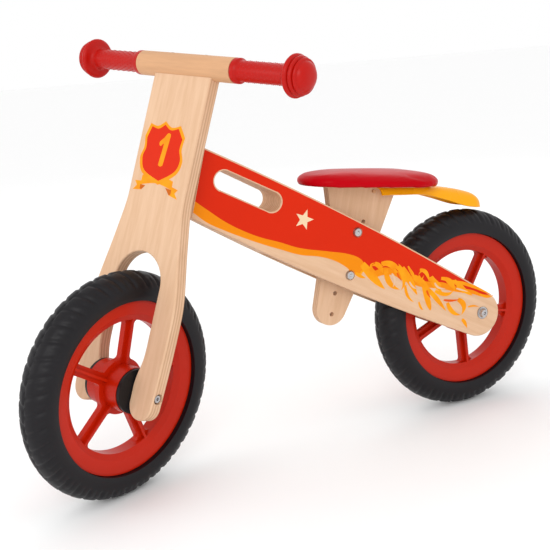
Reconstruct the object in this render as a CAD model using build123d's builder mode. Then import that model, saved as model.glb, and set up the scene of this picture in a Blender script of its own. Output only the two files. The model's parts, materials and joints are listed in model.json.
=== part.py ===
from build123d import *
import os
from math import cos, radians, sin, sqrt, tan

# Wooden balance bike for a small child, in millimetres.
# +X points ahead, +Y to the rider's left, +Z up. The origin is on the ground,
# on the frame's middle plane, half way between the axles with the fork straight ahead.
# The fork rests turned to the left by rest_steer.

# ---- driving dimensions ----
wheelbase = 566
tyre_radius = 150
tyre_half_width = 25
rim_radius = 114.5
rim_half_width = 16.8
window_radius = 88
hub_radius = 30
hub_half_length = 27
hub_bore_radius = 10
spoke_count = 5
spoke_width = 15
front_spoke_angle = 31.9
rear_spoke_angle = 49.5

head_angle = 16  # steering axis, leaning back from upright
fork_lean = 20  # fork board, leaning back from upright
axle_lead = 48  # front axle ahead of the steering axis
rest_steer = 21

board_thickness = 18
board_top = 403.5  # top end of the board above the axle
board_neck = 50  # half width of the board's upper part
panel_thickness = 12
panel_half_width = 57  # outer face of a panel at the rear axle
panel_splay = 5.5  # each panel's angle to the middle plane
edge_rounding = 2

knuckle_radius = 14
knuckle_low = 224  # ends of the head block's knuckle, measured up the steering axis
knuckle_high = 318
hinge_block_height = 24
bush_flange = 2
steering_bolt_radius = 5
axle_bolt_radius = 4
running_gap = 0.05  # radial clearance of a running fit
hole_gap = 0.1  # radial clearance of a bolt in its hole
end_gap = 0.3  # side play between parts that turn
washer_thickness = 1.6
past_all = 80  # reach of a form or tool that is cut back, or passes right through

post_thickness = 12
post_lean = 14.5
post_hole_pitch = 30.5
post_hole_radius = 3.25
seat_bolt_radius = 3
seat_tilt = 6.5
seat_height = 22
seat_board_thickness = 8

bar_radius = 16
bar_half_length = 82
bar_height = 417  # dowel's centre above the front axle, up the board
tenon_radius = 9
tenon_end = 158

# ---- places worked out from them ----
# Side views are drawn about the rear axle: x ahead of it, y above it.
rear_axle = Vector(-wheelbase / 2, 0, tyre_radius)
side_plane = Plane(origin=rear_axle, x_dir=(1, 0, 0), z_dir=(0, -1, 0))

axis_up = Vector(-sin(radians(head_angle)), 0, cos(radians(head_angle)))
axis_ahead = Vector(cos(radians(head_angle)), 0, sin(radians(head_angle)))
turn_axis = Axis((0, 0, 0), axis_up)

# The turned wheel leans, so its axle sits a little lower than the tyre radius.
wheel_lean = sqrt(1 - (sin(radians(head_angle)) * sin(radians(rest_steer))) ** 2)
front_axle_z = (tyre_radius - tyre_half_width) * wheel_lean + tyre_half_width
fork_ahead = axis_ahead.rotate(turn_axis, rest_steer)
lead = fork_ahead * axle_lead
axis_base = Vector(wheelbase / 2 - axle_lead * axis_ahead.X, 0, front_axle_z - lead.Z)
front_axle = axis_base + lead

across = Vector(0, 1, 0).rotate(turn_axis, rest_steer)
board_ahead = Vector(cos(radians(fork_lean)), 0, sin(radians(fork_lean))).rotate(turn_axis, rest_steer)
wheel_ahead = Vector(1, 0, 0).rotate(turn_axis, rest_steer)

# Fork board: x to the left, y up the board, z ahead.
board_plane = Plane(origin=front_axle, x_dir=across, z_dir=board_ahead)
board_back = Plane(origin=front_axle - board_ahead * (board_thickness / 2), x_dir=across, z_dir=board_ahead)
# Steering axis, on the fork and on the frame: x ahead, y to the left, z up the axis.
steer_plane = Plane(origin=axis_base, x_dir=fork_ahead, z_dir=axis_up)
head_plane = Plane(origin=axis_base, x_dir=axis_ahead, z_dir=axis_up)
# Axle lines: z outwards to the left.
front_line = Plane(origin=front_axle, x_dir=wheel_ahead, z_dir=across)
rear_line = Plane(origin=rear_axle, x_dir=(1, 0, 0), z_dir=(0, 1, 0))

panel_inner = panel_half_width - panel_thickness / cos(radians(panel_splay))


def panel_face(distance, side):
    """Plane along a panel's face that is distance from the middle at the rear axle."""
    outward = (sin(radians(panel_splay)), side * cos(radians(panel_splay)), 0)
    return Plane(origin=rear_axle + Vector(0, side * distance, 0), x_dir=(0, 0, 1), z_dir=outward)


def half_width_at(distance, x):
    """Distance of a panel's face from the middle plane, x ahead of the rear axle."""
    return distance - x * tan(radians(panel_splay))


def beside_axis(up, ahead):
    """Side-view point, up the steering axis and ahead of it."""
    point = axis_base - rear_axle + axis_up * up + axis_ahead * ahead
    return (point.X, point.Z)


def turned_over(plane):
    """The same plane seen from its other side."""
    return Plane(origin=plane.origin, x_dir=plane.x_dir, z_dir=plane.z_dir * -1)


def keep_piece(piece, name):
    """Label a finished piece and write it as its own file."""
    piece.part.label = name
    export_step(piece.part, f"parts/{name}.step")


os.makedirs("parts", exist_ok=True)


# ---- fasteners ----
def wood_screws(planes, radius, length, head_radius):
    """Countersunk screws, one in each plane's origin, driven against its z."""
    with BuildPart() as made:
        for plane in planes:
            with BuildSketch(plane):
                Circle(radius)
            extrude(amount=-length)
            with BuildSketch(plane):
                Circle(head_radius)
            extrude(amount=radius - head_radius, taper=45)
    return made


def domed_bolts(planes, radius, length, head_radius, head_rise):
    """Round-headed bolts with hexagon sockets; each plane is the seat under a head."""
    with BuildPart() as made:
        for plane in planes:
            with BuildSketch(plane):
                Circle(radius)
            extrude(amount=-length)
            with BuildSketch(plane):
                Circle(head_radius)
            extrude(amount=head_rise, taper=20)
            with BuildSketch(plane.offset(head_rise)):
                RegularPolygon(radius=head_radius * 0.36, side_count=6)
            extrude(amount=-head_rise * 0.7, mode=Mode.SUBTRACT)
    return made


def cap_nuts(planes, radius, sleeve_radius, sleeve_length, head_radius, head_rise):
    """Round closed nuts, each with a threaded sleeve down its hole; the planes are their seats."""
    with BuildPart() as made:
        for plane in planes:
            with BuildSketch(plane):
                Circle(head_radius)
            extrude(amount=head_rise, taper=20)
            with BuildSketch(plane):
                Circle(sleeve_radius)
            extrude(amount=-sleeve_length)
            with BuildSketch(plane):
                Circle(radius)
            extrude(amount=-sleeve_length, mode=Mode.SUBTRACT)
    return made


def washers(planes, hole_radius, outer_radius):
    """Plain washers standing on the planes."""
    with BuildPart() as made:
        for plane in planes:
            with BuildSketch(plane):
                Circle(outer_radius)
                Circle(hole_radius, mode=Mode.SUBTRACT)
            extrude(amount=washer_thickness)
    return made


# ---- frame: two splayed side panels with a wedge-shaped block between them ----
panel_front_gap = 17  # panels and block end this far behind the steering axis
slot_centre = (358.5, 224.5)
slot_angle = 28.7
slot_length = 101
slot_width = 26.5
seat_bolt_low = Vector(216.2, 89.6)
hole_step = Vector(-sin(radians(post_lean)), cos(radians(post_lean))) * post_hole_pitch
seat_bolt_places = [seat_bolt_low, seat_bolt_low + hole_step * 2]
bolt_head_radius = 6.5
bolt_head_rise = 3.2
axle_washer_radius = 9
spot_face_depth = 1.2
nut_sleeve_radius = 4
nut_sleeve_length = 10

with BuildSketch() as beam_profile:
    with BuildLine():
        top_edge = ThreePointArc(beside_axis(318.5, -panel_front_gap), (200, 165.6), (-13.5, 27.1))
        end_edge = ThreePointArc(top_edge @ 1, (-26.3, -13.4), (19.4, -31.5))
        bottom_edge = ThreePointArc(end_edge @ 1, (225, 73), beside_axis(226, -panel_front_gap))
        Line(bottom_edge @ 1, top_edge @ 0)
    make_face()
with BuildSketch() as hand_slot:
    with Locations(slot_centre):
        SlotOverall(slot_length, slot_width, rotation=slot_angle)


def seat_bolt_seats(side):
    """Planes under the seat bolts' heads (side 1) or nuts (side -1), facing outwards."""
    seats = []
    for place in seat_bolt_places:
        seat_y = half_width_at(panel_half_width, place.X) - spot_face_depth
        centre = rear_axle + Vector(place.X, side * seat_y, place.Y)
        seats.append(Plane(origin=centre, x_dir=(1, 0, 0), z_dir=(0, side, 0)))
    return seats


def frame_panel(side, bolt_hole_radius):
    """One side panel: plywood with rounded outer edges, drilled for the seat bolts and the axle."""
    with BuildPart() as panel:
        with BuildSketch(side_plane):
            add(beam_profile.sketch_local)
            add(hand_slot.sketch_local, mode=Mode.SUBTRACT)
        extrude(amount=-side * past_all)
        split(bisect_by=panel_face(panel_half_width, side), keep=Keep.BOTTOM)
        split(bisect_by=panel_face(panel_inner, side), keep=Keep.TOP)
        outward = Axis(rear_axle, panel_face(0, side).z_dir)
        fillet(panel.faces().sort_by(outward)[-1].edges(), radius=edge_rounding)
        with BuildSketch(side_plane):
            with Locations(*seat_bolt_places):
                Circle(bolt_hole_radius + hole_gap)
            Circle(axle_bolt_radius + hole_gap)
        extrude(amount=past_all, both=True, mode=Mode.SUBTRACT)
        # Flat seats for the heads, square to the bolts.
        for seat in seat_bolt_seats(side):
            with BuildSketch(seat):
                Circle(bolt_head_radius + 1)
            extrude(amount=20, mode=Mode.SUBTRACT)
        with BuildSketch(side_plane.offset(-side * (panel_half_width - spot_face_depth))):
            Circle(axle_washer_radius + 0.5)
        extrude(amount=-side * 20, mode=Mode.SUBTRACT)
    return panel


frame_panel_left = frame_panel(1, seat_bolt_radius)
keep_piece(frame_panel_left, "frame_panel_left")
frame_panel_right = frame_panel(-1, nut_sleeve_radius)
keep_piece(frame_panel_right, "frame_panel_right")

# Head block: a wedge between the panels, with a knuckle for the steering bolt at its nose.
block_back = (301.9, 193.5)
head_bush_radius = 7
head_bush_depth = 18
with BuildPart() as head_block:
    with BuildSketch(side_plane):
        add(beam_profile.sketch_local)
        with Locations(Location(block_back, slot_angle)):
            Rectangle(500, 400, align=(Align.MAX, Align.CENTER), mode=Mode.SUBTRACT)
        add(hand_slot.sketch_local, mode=Mode.SUBTRACT)
    extrude(amount=past_all, both=True)
    for block_side in (1, -1):
        split(bisect_by=panel_face(panel_inner, block_side), keep=Keep.BOTTOM)
    with BuildSketch(head_plane.offset(knuckle_low)):
        Circle(knuckle_radius)
        with Locations((-panel_front_gap / 2, 0)):
            Rectangle(panel_front_gap, 2 * knuckle_radius)
    extrude(amount=knuckle_high - knuckle_low)
    with BuildSketch(head_plane.offset(knuckle_low)):
        Circle(steering_bolt_radius + 1)
    extrude(amount=knuckle_high - knuckle_low, mode=Mode.SUBTRACT)
    for pocket_start in (knuckle_low, knuckle_high - head_bush_depth):
        with BuildSketch(head_plane.offset(pocket_start)):
            Circle(head_bush_radius)
        extrude(amount=head_bush_depth, mode=Mode.SUBTRACT)
keep_piece(head_block, "head_block")

# Flanged plastic bushes that line both ends of the knuckle.
with BuildPart() as head_bushes:
    for mouth, into in ((knuckle_low, 1), (knuckle_high, -1)):
        with BuildSketch(head_plane.offset(mouth)):
            Circle(head_bush_radius)
            Circle(steering_bolt_radius + running_gap, mode=Mode.SUBTRACT)
        extrude(amount=into * head_bush_depth)
        with BuildSketch(head_plane.offset(mouth)):
            Circle(knuckle_radius - 2)
            Circle(steering_bolt_radius + running_gap, mode=Mode.SUBTRACT)
        extrude(amount=-into * bush_flange)
keep_piece(head_bushes, "head_bushes")

# ---- seat post ----
post_foot = seat_bolt_low - hole_step * 2
rear_hole = (169.7, 155.8)
tail_pin_place = (150, 197)
tail_pin_radius = 2.5
seat_middle = Vector(155, 205.9)
seat_ahead = Vector(cos(radians(seat_tilt)), 0, sin(radians(seat_tilt)))
seat_up = Vector(-sin(radians(seat_tilt)), 0, cos(radians(seat_tilt)))
# Seat: x ahead, y to the left, z up from its underside.
seat_plane = Plane(
    origin=rear_axle + Vector(seat_middle.X, 0, seat_middle.Y), x_dir=seat_ahead, z_dir=seat_up
)
seat_screw_radius = 2
seat_screw_length = 32


def under_seat(x):
    """Height of the seat's underside above the rear axle, x ahead of it."""
    return seat_middle.Y + (x - seat_middle.X) * tan(radians(seat_tilt))


def seat_points(places, up):
    """Planes square to the seat at distances ahead of its middle, up from its underside."""
    return [
        Plane(origin=seat_plane.origin + seat_ahead * u + seat_up * up, x_dir=seat_ahead, z_dir=seat_up)
        for u in places
    ]


seat_screws = wood_screws(
    seat_points((54, 9, -36), seat_board_thickness), seat_screw_radius, seat_screw_length, head_radius=4
)
keep_piece(seat_screws, "seat_screws")

with BuildPart() as tail_pin:
    with BuildSketch(side_plane):
        with Locations(tail_pin_place):
            Circle(tail_pin_radius)
    extrude(amount=post_thickness / 2 + 3, both=True)
keep_piece(tail_pin, "tail_pin")

with BuildPart() as seat_post:
    with BuildSketch(side_plane):
        with BuildLine():
            foot = ThreePointArc((209.8, 26.3), (237.1, 15.2), (255.3, 45.3))
            front = Line(foot @ 1, (223.5, 180))
            brow = Line(front @ 1, (226, under_seat(226)))
            post_top = Line(brow @ 1, (108, under_seat(108)))
            nape = Line(post_top @ 1, (140.5, 138.4))
            Line(nape @ 1, foot @ 0)
        make_face()
        with Locations(*[post_foot + hole_step * i for i in range(5)]):
            Circle(post_hole_radius, mode=Mode.SUBTRACT)
        with Locations(rear_hole):
            Circle(post_hole_radius, mode=Mode.SUBTRACT)
    extrude(amount=post_thickness / 2, both=True)
    add(seat_screws.part, mode=Mode.SUBTRACT)
    add(tail_pin.part, mode=Mode.SUBTRACT)
keep_piece(seat_post, "seat_post")

# Round spacers between the post and the splayed panels, their outer ends cut to the panel.
post_spacer_radius = 11
with BuildPart() as post_spacers:
    with BuildSketch(side_plane):
        with Locations(*seat_bolt_places):
            Circle(post_spacer_radius)
            Circle(seat_bolt_radius + hole_gap, mode=Mode.SUBTRACT)
    extrude(amount=past_all, both=True)
    for spacer_side in (1, -1):
        split(bisect_by=panel_face(panel_inner, spacer_side), keep=Keep.BOTTOM)
    Box(wheelbase * 2, post_thickness, wheelbase * 2, mode=Mode.SUBTRACT)
keep_piece(post_spacers, "post_spacers")

seat_bolt_reach = 4  # the bolts stop this far short of the nuts' seats
with BuildPart() as seat_bolts:
    for bolt_seat in seat_bolt_seats(1):
        seat_bolt_length = 2 * bolt_seat.origin.Y - seat_bolt_reach
        seat_bolt = domed_bolts(
            [bolt_seat], seat_bolt_radius, seat_bolt_length, bolt_head_radius, bolt_head_rise
        )
        add(seat_bolt.part)
keep_piece(seat_bolts, "seat_bolts")

seat_nuts = cap_nuts(
    seat_bolt_seats(-1),
    radius=seat_bolt_radius,
    sleeve_radius=nut_sleeve_radius,
    sleeve_length=nut_sleeve_length,
    head_radius=bolt_head_radius,
    head_rise=bolt_head_rise,
)
keep_piece(seat_nuts, "seat_nuts")

# ---- seat: a padded cover over a plywood board, its plan two rounded ends of unlike size ----
seat_nose = (64, 48)  # centre ahead of the seat's middle, and radius
seat_tail = (-52, 60)
board_inset = 12
with BuildSketch() as seat_outline:
    for centre, radius in (seat_nose, seat_tail):
        with Locations((centre, 0)):
            Circle(radius)
    make_hull()

guard_half_width = 20.5
guard_screws = wood_screws(
    [turned_over(plane) for plane in seat_points((-62, -80), -3)], radius=1.75, length=9, head_radius=3.5
)
keep_piece(guard_screws, "guard_screws")

with BuildPart() as seat_board:
    with BuildSketch(seat_plane):
        add(seat_outline.sketch_local)
        offset(amount=-board_inset, mode=Mode.REPLACE)
    extrude(amount=seat_board_thickness)
    add(seat_screws.part, mode=Mode.SUBTRACT)
    add(guard_screws.part, mode=Mode.SUBTRACT)
keep_piece(seat_board, "seat_board")

with BuildPart() as seat_cushion:
    with BuildSketch(seat_plane):
        add(seat_outline.sketch_local)
    extrude(amount=seat_height)
    cushion_axis = Axis(seat_plane.origin, seat_up)
    fillet(seat_cushion.faces().sort_by(cushion_axis)[-1].edges(), radius=14)
    fillet(seat_cushion.faces().sort_by(cushion_axis)[0].edges(), radius=5)
    with BuildSketch(seat_plane):
        add(seat_outline.sketch_local)
        offset(amount=-board_inset, mode=Mode.REPLACE)
    extrude(amount=seat_board_thickness, mode=Mode.SUBTRACT)
keep_piece(seat_cushion, "seat_cushion")

# ---- tail guard: a moulded trough, open below, whose front end straddles the post ----
guard_wall = 3
guard_front = 144.5
guard_bend = 70  # the guard leaves the seat here and curves down to its tip
guard_tip = -42
guard_depth = 12.4
guard_slot_back = 104  # the slot for the post runs ahead from here
with BuildSketch() as guard_profile:
    with BuildLine():
        crest = Line((guard_front, under_seat(guard_front)), (guard_bend, under_seat(guard_bend)))
        crest_bends = [crest @ 1, (20, 187), (-20, 175.5), (guard_tip, 157)]
        crest_curve = Spline(*crest_bends, tangents=[crest % 1, (-0.5, -0.87)])
        tip_edge = Line(crest_curve @ 1, (guard_tip + 3, 150.5))
        lip_bends = [tip_edge @ 1, (-7, 156.6), (33, 171.5), (72, 184)]
        lip_curve = Spline(*lip_bends, tangents=[(1, 0.04), (1, 0.12)])
        lip = Line(lip_curve @ 1, (guard_front, under_seat(guard_front) - guard_depth))
        Line(lip @ 1, crest @ 0)
    make_face()


def guard_form(half_width, shift):
    """Guard's outer form, or its hollow when narrower and shifted ahead and down."""
    with BuildPart() as form:
        with BuildSketch(side_plane):
            with Locations((shift, -shift)):
                add(guard_profile.sketch_local)
        extrude(amount=half_width, both=True)
        with BuildSketch():
            with Locations((rear_axle.X + guard_tip + shift + half_width, 0)):
                Circle(half_width)
                Rectangle(400, 2 * half_width, align=(Align.MIN, Align.CENTER))
        extrude(amount=600, mode=Mode.INTERSECT)
    return form


with BuildPart() as tail_guard:
    add(guard_form(guard_half_width, 0).part)
    add(guard_form(guard_half_width - guard_wall, guard_wall).part, mode=Mode.SUBTRACT)
    with BuildSketch(side_plane):
        with Locations((guard_slot_back, seat_middle.Y)):
            Rectangle(past_all, past_all, align=(Align.MIN, Align.CENTER))
    extrude(amount=post_thickness / 2 + 0.25, both=True, mode=Mode.SUBTRACT)
    add(guard_screws.part, mode=Mode.SUBTRACT)
keep_piece(tail_guard, "tail_guard")

# ---- rear axle ----
axle_head_radius = 7
axle_head_rise = 4.6
axle_thread = 3  # reach of an axle bolt into its cap nut
rear_seat_y = panel_half_width - spot_face_depth
rear_seats = [rear_line.offset(rear_seat_y), turned_over(rear_line).offset(rear_seat_y)]
rear_axle_washers = washers(rear_seats, axle_bolt_radius + hole_gap, axle_washer_radius)
keep_piece(rear_axle_washers, "rear_axle_washers")

rear_head_y = rear_seat_y + washer_thickness
rear_bolt_length = 2 * rear_head_y + axle_thread
rear_bolt_seat = rear_line.offset(rear_head_y)
rear_axle_bolt = domed_bolts(
    [rear_bolt_seat], axle_bolt_radius, rear_bolt_length, axle_head_radius, axle_head_rise
)
keep_piece(rear_axle_bolt, "rear_axle_bolt")
with BuildPart() as rear_axle_nut:
    with BuildSketch(turned_over(rear_line).offset(rear_head_y)):
        Circle(axle_head_radius)
    extrude(amount=axle_head_rise + 1, taper=15)
    add(rear_axle_bolt.part, mode=Mode.SUBTRACT)
keep_piece(rear_axle_nut, "rear_axle_nut")

# Sleeves that hold the wheel in the middle, their outer ends cut to the panel.
bush_face = hub_half_length + 5
with BuildPart() as rear_axle_spacers:
    with BuildSketch(side_plane):
        Circle(axle_washer_radius)
        Circle(axle_bolt_radius + hole_gap, mode=Mode.SUBTRACT)
    extrude(amount=past_all, both=True)
    for spacer_side in (1, -1):
        split(bisect_by=panel_face(panel_inner, spacer_side), keep=Keep.BOTTOM)
    Box(wheelbase * 2, 2 * (bush_face + end_gap), wheelbase * 2, mode=Mode.SUBTRACT)
keep_piece(rear_axle_spacers, "rear_axle_spacers")

# ---- fork board ----
axle_pocket = 65  # counterbores in the legs' outer edges reach in to here
axle_pocket_radius = 6.9
front_head_radius = 6.3
bar_middle = board_plane.origin + board_plane.y_dir * bar_height
bar_plane = Plane(origin=bar_middle, x_dir=board_ahead, z_dir=across)

bar_screw_planes = [
    Plane(
        origin=bar_plane.origin + board_plane.y_dir * (bar_radius - 0.5) + across * (side * 30),
        x_dir=across,
        z_dir=board_plane.y_dir,
    )
    for side in (1, -1)
]
handlebar_screws = wood_screws(bar_screw_planes, radius=2.5, length=75, head_radius=5)
keep_piece(handlebar_screws, "handlebar_screws")

# Hinge blocks: each a loop for the steering bolt with wings screwed to the board's back.
upper_block_start = knuckle_high + bush_flange + end_gap
lower_block_start = knuckle_low - bush_flange - end_gap - hinge_block_height
hinge_wing_half = 30
hinge_wing_thickness = 12
board_back_at_base = 38.98  # board's back ahead of the steering axis at the axis base
board_back_slope = tan(radians(fork_lean - head_angle))
hinge_screw_planes = []
for start in (upper_block_start, lower_block_start):
    screw_height = start + hinge_block_height / 2
    wing_back = board_back_at_base - board_back_slope * screw_height - hinge_wing_thickness
    for side in (1, -1):
        screw_head = axis_base + axis_up * screw_height + fork_ahead * wing_back + across * (side * 22)
        hinge_screw_planes.append(Plane(origin=screw_head, x_dir=across, z_dir=fork_ahead * -1))
hinge_screws = wood_screws(hinge_screw_planes, radius=2.25, length=26, head_radius=4.5)
keep_piece(hinge_screws, "hinge_screws")

with BuildPart() as fork_board:
    with BuildSketch(board_plane):
        with BuildLine():
            brow = Line((0, board_top), (board_neck, board_top))
            neck = Line(brow @ 1, (board_neck, 250))
            shoulder_bends = [neck @ 1, (55.5, 208), (63, 171), (71, 135), (75, 92)]
            shoulder = Spline(*shoulder_bends, tangents=[(0, -1), (0, -1)])
            shin = ThreePointArc(shoulder @ 1, (74.4, 42), (71.9, -12.5))
            foot = ThreePointArc(shin @ 1, (52.5, -31.9), (33.1, -12.5))
            heel = Line(foot @ 1, (33.1, 6))
            calf = Spline(heel @ 1, (39.7, 40), (41.3, 79), tangents=[(0, 1), (0, 1)])
            thigh = Line(calf @ 1, (41.3, 133.3))
            RadiusArc(thigh @ 1, (0, 174.6), -41.3)
            mirror(about=Plane.YZ)
        make_face()
    extrude(amount=board_thickness / 2, both=True)
    flats = fork_board.faces().filter_by(Axis(front_axle, board_ahead))
    top_line = fork_board.edges().sort_by(Axis(front_axle, board_plane.y_dir))
    fillet(flats.edges().filter_by(lambda edge: edge not in top_line[-4:]), radius=edge_rounding)
    with BuildSketch(bar_plane):
        Circle(bar_radius)
    extrude(amount=bar_half_length, both=True, mode=Mode.SUBTRACT)
    # Axle hole, wider at both ends.
    with BuildSketch(board_plane):
        Rectangle(200, axle_bolt_radius + hole_gap, align=(Align.CENTER, Align.MIN))
        for pocket_side in (1, -1):
            with Locations((pocket_side * (axle_pocket + 20), 0)):
                Rectangle(40, axle_pocket_radius, align=(Align.CENTER, Align.MIN))
    revolve(axis=Axis(front_axle, across), mode=Mode.SUBTRACT)
    add(handlebar_screws.part, mode=Mode.SUBTRACT)
    add(hinge_screws.part, mode=Mode.SUBTRACT)
keep_piece(fork_board, "fork_board")


def hinge_block(start):
    """A block round the steering bolt, cut along the board's back, with a wing on each side."""
    with BuildPart() as block:
        with BuildSketch(steer_plane.offset(start)):
            Circle(knuckle_radius)
            with Locations((30, 0)):
                Rectangle(60, 2 * knuckle_radius)
        extrude(amount=hinge_block_height)
        board_reach = board_back_at_base - board_back_slope * (start + hinge_block_height / 2)
        wing_back = board_reach - hinge_wing_thickness
        with BuildSketch(steer_plane.offset(start)):
            with Locations((wing_back, 0)):
                Rectangle(60, 2 * hinge_wing_half, align=(Align.MIN, Align.CENTER))
        extrude(amount=hinge_block_height)
        split(bisect_by=board_back, keep=Keep.BOTTOM)
        with BuildSketch(steer_plane.offset(start)):
            Circle(steering_bolt_radius + hole_gap)
        extrude(amount=hinge_block_height, mode=Mode.SUBTRACT)
        add(hinge_screws.part, mode=Mode.SUBTRACT)
    return block


hinge_block_upper = hinge_block(upper_block_start)
keep_piece(hinge_block_upper, "hinge_block_upper")
hinge_block_lower = hinge_block(lower_block_start)
keep_piece(hinge_block_lower, "hinge_block_lower")

# Steering bolt through both blocks and the knuckle, its head on top.
bolt_seats = [
    steer_plane.offset(upper_block_start + hinge_block_height),
    turned_over(steer_plane).offset(-lower_block_start),
]
steering_washers = washers(bolt_seats, steering_bolt_radius + hole_gap, outer_radius=10)
keep_piece(steering_washers, "steering_washers")
bolt_length = upper_block_start + hinge_block_height - lower_block_start + 2 * washer_thickness + 10
with BuildPart() as steering_bolt:
    with BuildSketch(bolt_seats[0].offset(washer_thickness)):
        Circle(steering_bolt_radius)
    extrude(amount=-bolt_length)
    with BuildSketch(bolt_seats[0].offset(washer_thickness)):
        RegularPolygon(radius=9.2, side_count=6)
    extrude(amount=6)
keep_piece(steering_bolt, "steering_bolt")
with BuildPart() as steering_nut:
    with BuildSketch(bolt_seats[1].offset(washer_thickness)):
        RegularPolygon(radius=9.2, side_count=6)
        Circle(steering_bolt_radius, mode=Mode.SUBTRACT)
    extrude(amount=8)
keep_piece(steering_nut, "steering_nut")

# ---- handlebar and grips ----
with BuildPart() as handlebar:
    with BuildSketch(bar_plane):
        Circle(tenon_radius)
    extrude(amount=tenon_end, both=True)
    with BuildSketch(bar_plane):
        Circle(bar_radius)
    extrude(amount=bar_half_length, both=True)
    add(handlebar_screws.part, mode=Mode.SUBTRACT)
keep_piece(handlebar, "handlebar")


def grip(side):
    """A moulded grip: collar, sleeve, broad flange and rings that narrow to a domed end."""
    section = Plane(origin=bar_plane.origin, x_dir=across * side, z_dir=board_ahead)
    grip_start = bar_half_length + end_gap
    with BuildPart() as made:
        with BuildSketch(section):
            with BuildLine():
                collar = Polyline((grip_start, 0), (grip_start, 16), (89, 16), (91, 13), (168, 13))
                flare = ThreePointArc(collar @ 1, (171.5, 14.2), (173, 17.5))
                flange_back = Line(flare @ 1, (174.5, 24))
                flange_rim = ThreePointArc(flange_back @ 1, (177, 26.5), (180.5, 22.8))
                first_ring = ThreePointArc(flange_rim @ 1, (184, 24), (186, 21))
                second_ring = ThreePointArc(first_ring @ 1, (189, 21.8), (191, 19))
                dome = ThreePointArc(second_ring @ 1, (196.8, 14.6), (199, 6))
                Polyline(dome @ 1, (199, 0), collar @ 0)
            make_face()
        revolve(axis=Axis(bar_plane.origin, across))
        with BuildSketch(bar_plane):
            Circle(tenon_radius + running_gap)
        extrude(amount=side * tenon_end, mode=Mode.SUBTRACT)
    return made


grip_left = grip(1)
keep_piece(grip_left, "grip_left")
grip_right = grip(-1)
keep_piece(grip_right, "grip_right")

# ---- front axle, its ends sunk in the legs' outer edges ----
front_seats = [front_line.offset(axle_pocket), turned_over(front_line).offset(axle_pocket)]
front_axle_washers = washers(front_seats, axle_bolt_radius + hole_gap, axle_pocket_radius - hole_gap)
keep_piece(front_axle_washers, "front_axle_washers")
front_head_a = axle_pocket + washer_thickness
front_bolt_length = 2 * front_head_a + axle_thread
front_bolt_seat = front_line.offset(front_head_a)
front_axle_bolt = domed_bolts(
    [front_bolt_seat], axle_bolt_radius, front_bolt_length, front_head_radius, axle_head_rise
)
keep_piece(front_axle_bolt, "front_axle_bolt")
with BuildPart() as front_axle_nut:
    with BuildSketch(turned_over(front_line).offset(front_head_a)):
        Circle(front_head_radius)
    extrude(amount=axle_head_rise + 1, taper=15)
    add(front_axle_bolt.part, mode=Mode.SUBTRACT)
keep_piece(front_axle_nut, "front_axle_nut")

# ---- wheels ----
channel_radius = 106
channel_half_width = 12.5
channel_mouth = 14.3
web_half_thickness = 4
rib_half_height = 10
rib_thickness = 3.5
rim_root = 6  # spokes and web run this far into the rim


def wheel_rim(line, spoke_angle):
    """One-piece moulded rim: channel, five ribbed spokes and a bored hub."""
    section = Plane(origin=line.origin, x_dir=line.z_dir, z_dir=line.x_dir)
    spin = Axis(line.origin, line.z_dir)
    face_on = turned_over(line)
    with BuildPart() as rim:
        with BuildSketch(face_on):
            Circle(window_radius + rim_root)
        extrude(amount=web_half_thickness, both=True)
        with BuildSketch(face_on):
            Circle(window_radius)
            Circle(hub_radius + 7, mode=Mode.SUBTRACT)
            with PolarLocations(0, spoke_count, start_angle=spoke_angle):
                Rectangle(
                    2 * window_radius, spoke_width, align=(Align.MIN, Align.CENTER), mode=Mode.SUBTRACT
                )
            fillet(vertices(), radius=6)
        extrude(amount=web_half_thickness, both=True, mode=Mode.SUBTRACT)
        with BuildSketch(face_on):
            with PolarLocations(0, spoke_count, start_angle=spoke_angle):
                Rectangle(window_radius + rim_root - 1, rib_thickness, align=(Align.MIN, Align.CENTER))
        extrude(amount=rib_half_height, both=True)
        with BuildSketch(face_on):
            Circle(hub_radius)
        extrude(amount=hub_half_length, both=True)
        with BuildSketch(face_on):
            Circle(hub_bore_radius)
        extrude(amount=hub_half_length, both=True, mode=Mode.SUBTRACT)
        with BuildSketch(section):
            with BuildLine():
                channel = Polyline(
                    (0, channel_radius),
                    (channel_half_width, channel_radius),
                    (channel_mouth, rim_radius),
                    (rim_half_width, rim_radius),
                )
                flange = Line(channel @ 1, (rim_half_width, 112))
                Polyline(flange @ 1, (14, 96), (9, window_radius), (0, window_radius))
                mirror(about=Plane.YZ)
            make_face()
        revolve(axis=spin)
    return rim


def wheel_tyre(line):
    """Solid foam tyre: round outside, with a foot that fills the rim's channel."""
    section = Plane(origin=line.origin, x_dir=line.z_dir, z_dir=line.x_dir)
    neck_radius = rim_radius + 0.6
    neck_half = sqrt(tyre_half_width**2 - (tyre_radius - tyre_half_width - neck_radius) ** 2)
    with BuildPart() as tyre:
        with BuildSketch(section):
            with BuildLine():
                foot_line = Polyline(
                    (neck_half, neck_radius),
                    (rim_half_width, neck_radius),
                    (channel_mouth, rim_radius),
                    (channel_half_width, channel_radius),
                    (-channel_half_width, channel_radius),
                    (-channel_mouth, rim_radius),
                    (-rim_half_width, neck_radius),
                    (-neck_half, neck_radius),
                )
                ThreePointArc(foot_line @ 1, (0, tyre_radius), foot_line @ 0)
            make_face()
            shoulders = vertices().filter_by(lambda corner: abs(abs(corner.X) - neck_half) < 0.01)
            fillet(shoulders, radius=4)
        revolve(axis=Axis(line.origin, line.z_dir))
    return tyre


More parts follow.
